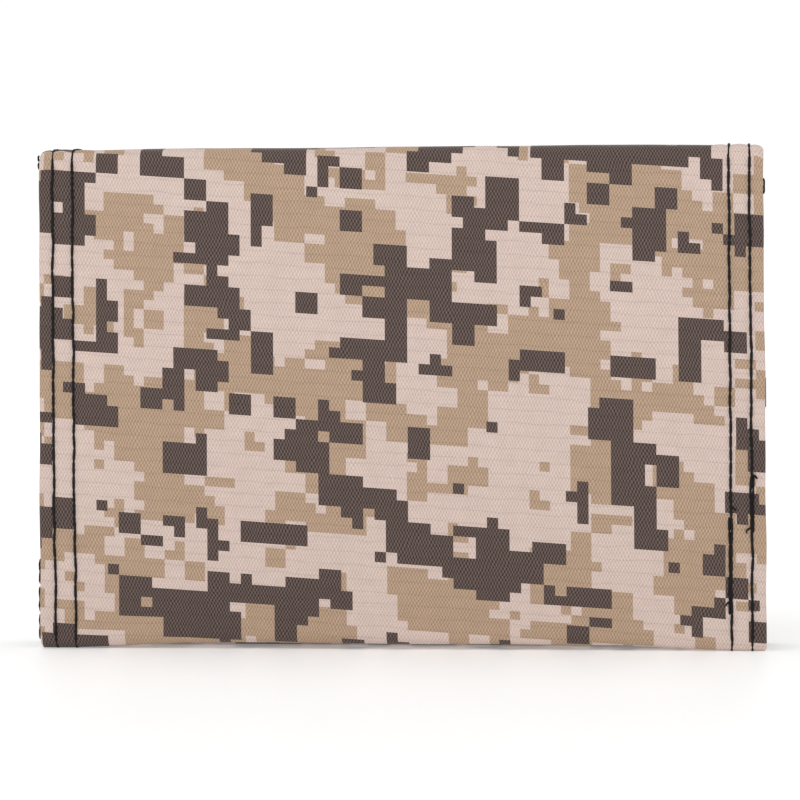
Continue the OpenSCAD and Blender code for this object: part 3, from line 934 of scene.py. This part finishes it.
# card slots, back to front, each with its bound mouth
for k, layer in enumerate(("back", "middle", "front")):
    node = f"slot_{layer}"
    pocket_cloth(f"{node}_cloth", node, 1, "centre", seed=31.0 + k)
    low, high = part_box(node)
    tape_high = edge(f"{node}_binding", 1, "y")
    tape_over_edge(f"{node}_tape", f"{node}_binding", high.x, high.y - MOUTH_THICK, tape_high,
                   high.z + 0.1 * MM, -1, "centre", 41.0 + k, MOUTH_TAPE_THICK)
low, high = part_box("slot_front")
sewn_x, sewn_y, sewn_low, sewn_high = high.x - 1.3 * MM, high.y - 0.3 * MM, low.z + 1.3 * MM, high.z - 5 * MM
corners = [(-sewn_x, sewn_y, sewn_high), (-sewn_x, sewn_y, sewn_low),
           (sewn_x, sewn_y, sewn_low), (sewn_x, sewn_y, sewn_high)]
flat_run("slot_seam_thread", "centre", zip(corners[:-1], corners[1:]), (0, 1, 0))

# the leaf's pocket and its bound edges
pocket_cloth("leaf_pocket_cloth", "leaf_pocket", -1, "leaf", seed=35.0)
low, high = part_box("leaf_pocket")
tape_over_edge("leaf_pocket_tape", "leaf_pocket_binding", high.x, edge("leaf_pocket_binding", 0, "y"),
               low.y + MOUTH_THICK, high.z + 0.1 * MM, -1, "leaf", 45.0, MOUTH_TAPE_THICK)
low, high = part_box("leaf_edge_binding")
tape_over_edge("leaf_edge_tape", "leaf_edge_binding", high.x, low.y, high.y, high.z, -1, "leaf", 46.0)
low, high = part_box("cover_edge_binding")
tape_over_edge("cover_edge_tape", "cover_edge_binding", high.x, low.y, high.y, low.z, 1, "cover", 47.0)


# ---- closure
def strip_base(name, node, facing, body, material, rise, seed):
    """The woven ground of a hook or loop strip, with a rounded rim, and the thread that sews it on."""
    low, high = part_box(node)
    back = low.y if facing > 0 else high.y
    grid_x, grid_z = box_grid(low, high, 0.8 * MM, 0.8 * MM)
    rim = np.minimum(np.minimum(grid_x - low.x, high.x - grid_x), np.minimum(grid_z - low.z, high.z - grid_z))
    rim_height = 0.18 * MM
    height = rim_height + (rise - rim_height) * smooth(rim / (1.2 * MM))
    height = height + 0.07 * MM * noise_at(grid_x / (1.7 * MM), grid_z / (1.7 * MM), seed=seed)
    y = back + facing * height
    face_cloth(name, grid_x, y, grid_z, 0.16 * MM, facing, material, body, node)
    inset = 0.9 * MM
    frame_run(f"{name}_stitch", body, low.x + inset, high.x - inset, low.z + inset, high.z - inset,
              back + facing * 0.3 * MM, facing)
    return low, high, back, facing


def tufts(name, spot, step, ground, height, seed, shape, radius, material, body):
    """Many small bent wires standing on a strip, hooks or loops; spot is what strip_base gives."""
    low, high, back, out = spot
    pick = rng(seed)
    lines = []
    for x in np.arange(low.x + 2 * MM, high.x - 1.6 * MM, step):
        for z in np.arange(low.z + 2 * MM, high.z - 1.6 * MM, step):
            at = np.array([x, 0, z]) + pick.normal(0, 0.12 * step, 3) * (1, 0, 1)
            turn = pick.uniform(-0.5, 0.5)
            side = np.array([math.cos(turn), 0, math.sin(turn)])
            tall = height * pick.uniform(0.82, 1.0)
            lines.append([at + side * a * step + (0, back + out * (ground + tall * b), 0) for a, b in shape])
    solid_piece(name, tube_mesh(lines, radius, 4), material, body)


# each wire's line: along the strip in steps, and up in shares of its height
HOOK = ((-0.1, 0.0), (-0.14, 0.55), (0.02, 0.98), (0.24, 0.86), (0.26, 0.6))
LOOP = ((-0.3, 0.0), (-0.42, 0.6), (0.0, 1.0), (0.42, 0.55), (0.25, 0.0))
spot = strip_base("hook_ground", "hook_strip", 1, "leaf", HOOK_MAT, 0.42 * MM, 51.0)
tufts("hook_wires", spot, 1.25 * MM, 0.3 * MM, 0.85 * MM, 52, HOOK, 0.1 * MM, HOOK_MAT, "leaf")
spot = strip_base("loop_ground", "loop_strip", -1, "cover", LOOP_MAT, 0.5 * MM, 53.0)
tufts("loop_wires", spot, 1.0 * MM, 0.35 * MM, 0.75 * MM, 54, LOOP, 0.07 * MM, LOOP_MAT, "cover")


# ---- window
def window_surround():
    """A sewn tape frame: mitred at its corners, crowned across its width."""
    low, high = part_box("window_frame")
    film_low, film_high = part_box("window_film")
    lap = 0.5 * MM
    inner = (film_low.x + lap, film_high.x - lap, film_low.z + lap, film_high.z - lap)
    outer = (low.x, high.x, low.z, high.z)
    share = np.linspace(0, 1, 9)
    sides = []
    for x0, x1, z0, z1 in (inner, outer):
        corners = [(x0, z0), (x1, z0), (x1, z1), (x0, z1), (x0, z0)]
        path = [np.linspace(a, b, 40)[:-1] for a, b in zip(corners[:-1], corners[1:])]
        sides.append(np.vstack(path + [np.array([corners[-1]])]))
    flat = sides[0][:, None] + (sides[1] - sides[0])[:, None] * share[None, :, None]
    crown = 0.32 * MM + 0.5 * MM * np.sin(math.pi * np.clip(share, 0.02, 0.98)) ** 0.5
    y = high.y - crown - 0.03 * MM * noise_at(flat[..., 0] / (6 * MM), flat[..., 1] / (6 * MM), seed=61.0)
    points = stack(flat[..., 0], y, flat[..., 1])
    piece = sheet_of("window_surround", points, flat, TAPE_THICK)
    fit(piece, TAPE_MAT, "cover", "window_frame")
    for tag, inset in (("outer", 1.4 * MM), ("inner", 5.6 * MM)):
        frame_run(f"window_stitch_{tag}", "cover", low.x + inset, high.x - inset,
                  low.z + inset, high.z - inset, low.y + 0.05 * MM, -1)


window_surround()


# ---- coin pocket and zip
pocket_cloth("coin_pocket_cloth", "coin_pocket_bag", -1, "cover", seed=37.0, sides="lrbt")


def zip_tape_piece(name, node, seed):
    low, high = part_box(node)
    grid_x, grid_z = box_grid(low, high, 0.9 * MM, 0.5 * MM)
    soft = 0.05 * MM * noise_at(grid_x / (8 * MM), grid_z / (4 * MM), seed=seed)
    y = high.y - 0.03 * MM + soft
    face_cloth(name, grid_x, y, grid_z, 0.3 * MM, 1, ZIP_TAPE_MAT, "cover", node)


def zip_coil_piece(name, node, side):
    """A nylon coil: a flattened helix whose turns bulge into teeth beside the middle line."""
    low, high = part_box(node)
    pitch, per_turn = 1.3 * MM, 14
    turns = int((high.x - low.x) / pitch)
    a = np.linspace(0, 2 * math.pi * turns, turns * per_turn + 1)
    wide, tall = (high.z - low.z) / 2 - 0.24 * MM, (high.y - low.y) / 2 - 0.22 * MM
    mid_z = (high.z + low.z) / 2 - side * 0.12 * MM
    x = low.x + 0.3 * MM + pitch * (a / (2 * math.pi)) + (0.5 * pitch if side < 0 else 0)
    squared = np.sign(np.cos(a)) * np.abs(np.cos(a)) ** 0.7
    line = stack(x, (high.y + low.y) / 2 + tall * np.sin(a), mid_z + side * wide * squared)
    thick = 0.23 * MM + 0.07 * MM * smooth(-squared - 0.2)
    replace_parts(solid_piece(name, tube_mesh([line], thick, 8), COIL_MAT, "cover"), node)
    y_row, z_row = high.y - 0.25 * MM, mid_z + side * 0.5 * MM
    holes = stack(low.x + pitch * np.arange(turns), np.full(turns, y_row), np.full(turns, z_row))
    sewing = stitches(holes, np.tile([0.0, 1.0, 0.0], (turns, 1)), 0.14 * MM)
    solid_piece(f"{name}_sewing", sewing, THREAD, "cover")


zip_tape_piece("zip_tape_upper_cloth", "zip_tape_upper", 64.0)
zip_tape_piece("zip_tape_lower_cloth", "zip_tape_lower", 65.0)
zip_coil_piece("zip_coil_upper_turns", "zip_coil_upper", 1)
zip_coil_piece("zip_coil_lower_turns", "zip_coil_lower", -1)


def softened(name, node, body, width):
    """The CAD node's own shape with its edges rounded, as cast metal has them."""
    piece = linked(name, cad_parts[node].data.copy())
    for kind, settings in (
        ("WELD", {"merge_threshold": 0.002 * MM}),
        ("DECIMATE", {"decimate_type": "DISSOLVE", "angle_limit": math.radians(3)}),
        ("BEVEL", {"width": width, "segments": 3, "limit_method": "ANGLE", "angle_limit": math.radians(40),
                   "use_clamp_overlap": True}),
    ):
        modifier = piece.modifiers.new(kind.lower(), kind)
        for key, value in settings.items():
            setattr(modifier, key, value)
    apply_modifiers(piece)
    piece.data.polygons.foreach_set("use_smooth", [True] * len(piece.data.polygons))
    piece.data.set_sharp_from_angle(angle=math.radians(35))
    fit(piece, METAL, body, node)


softened("zip_stop_clamps", "zip_stops", "cover", 0.18 * MM)
softened("slider_shell", "slider_body", "zip_slider", 0.13 * MM)
softened("pull_plate", "pull_tab", "zip_pull", 0.16 * MM)


# ---- label
def label_piece():
    """A plain woven label with its upper edge curling off the cover."""
    low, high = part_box("label_patch")
    grid_x, grid_z = box_grid(low, high, 0.6 * MM, 0.6 * MM)
    stand = 0.42 * MM
    curl = 0.25 * MM * smooth((grid_z - high.z + 1.5 * MM) / (1.5 * MM)) ** 2
    soft = 0.06 * MM * noise_at(grid_x / (6 * MM), grid_z / (4 * MM), seed=66.0)
    shell_y = on_shell(grid_x, cover_s(grid_z))[..., 1]
    y = shell_y + stand + curl + soft
    face_cloth("label_cloth", grid_x, y, grid_z, 0.3 * MM, 1, LABEL, "cover", "label_patch")
    y_row, z_low, z_high = float(shell_y.mean()) + stand, low.z + 0.8 * MM, high.z - 0.8 * MM
    runs = [((x, y_row, z_low), (x, y_row, z_high)) for x in (low.x + 1 * MM, high.x - 1 * MM)]
    flat_run("label_stitch", "cover", runs, (0, 1, 0), THREAD_RED)


label_piece()

# CAD nodes that keep their own shape
for node, material in (("board_centre", BOARD_MAT), ("board_cover", BOARD_MAT), ("board_leaf", BOARD_MAT),
                       ("window_film", VINYL)):
    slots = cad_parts[node].data.materials
    slots.clear()
    slots.append(material)


# ---- floor, light and camera
def studio():
    g = Graph("studio_floor")
    place = g.object_mm()
    grain = g.noise(place, 0.02, 2.0)
    g.finish(g.mix(grain, (0.93, 0.93, 0.93), (0.95, 0.95, 0.95)), 0.45, Specular_IOR_Level=0.15,
             Emission_Color=(1.0, 1.0, 1.0, 1.0))
    # a lit table: the glow fills in for the lamps' light where it falls off
    away = g.node("VectorMath", operation="LENGTH")
    g.feed(away.inputs[0], place)
    near = g.span(away.outputs["Value"], 120.0, 700.0, 0.21, 0.42)
    far = g.span(away.outputs["Value"], 700.0, 2400.0, 0.0, 0.13)
    g.feed(g.shader.inputs["Emission Strength"], g.add(near, far))
    verts = [(-9, -9, FLOOR), (9, -9, FLOOR), (9, 9, FLOOR), (-9, 9, FLOOR)]
    floor = make_object("floor", verts, [(0, 1, 2, 3)])
    floor.data.materials.append(g.material)

    world = bpy.data.worlds.new("studio")
    bpy.context.scene.world = world
    world.use_nodes = True
    tree = world.node_tree
    back = tree.nodes["Background"]
    back.inputs["Strength"].default_value = 1.0
    # the room is brightest low down and dimmer overhead
    way, cut, fade = (tree.nodes.new("ShaderNode" + k) for k in ("TexCoord", "SeparateXYZ", "MapRange"))
    tree.links.new(way.outputs["Generated"], cut.inputs[0])
    tree.links.new(cut.outputs["Z"], fade.inputs["Value"])
    for key, value in (("From Min", 0.15), ("From Max", 0.9), ("To Min", 1.04), ("To Max", 0.5)):
        fade.inputs[key].default_value = value
    tree.links.new(fade.outputs[0], back.inputs["Color"])

    def softbox(name, place, size, power):
        light = bpy.data.lights.new(name, "AREA")
        light.shape = "RECTANGLE"
        light.size, light.size_y = size
        light.energy = power
        lamp = linked(name, light)
        lamp.location = place
        lamp.rotation_euler = (Vector((0, 0, 0.04)) - Vector(place)).to_track_quat("-Z", "Y").to_euler()

    softbox("key", (-0.2, -0.55, 0.95), (0.6, 0.5), 2.4)
    softbox("fill", (0.7, -0.7, 0.45), (0.5, 0.6), 0.25)
    softbox("top", (0.0, 0.25, 1.0), (0.9, 0.5), 1.2)


def camera():
    """Nearly face-on to the centre panel, a little to its right and above."""
    azimuth, elevation, roll = (math.radians(a) for a in (5.43, 2.0, -0.28))
    distance = 0.622
    target = Vector((-0.00064, 0, 0.04251))
    away = Vector((math.sin(azimuth) * math.cos(elevation), -math.cos(azimuth) * math.cos(elevation),
                   math.sin(elevation)))
    lens = bpy.data.cameras.new("camera")
    lens.lens, lens.sensor_width = 161.5, 36.0
    cam = linked("camera", lens)
    cam.location = target + away * distance
    look = (-away).to_track_quat("-Z", "Y")
    cam.rotation_mode = "QUATERNION"
    cam.rotation_quaternion = look @ Quaternion((0, 0, 1), roll)
    bpy.context.scene.camera = cam


studio()
camera()
bpy.context.scene.view_settings.view_transform = "Standard"

bpy.context.view_layer.update()
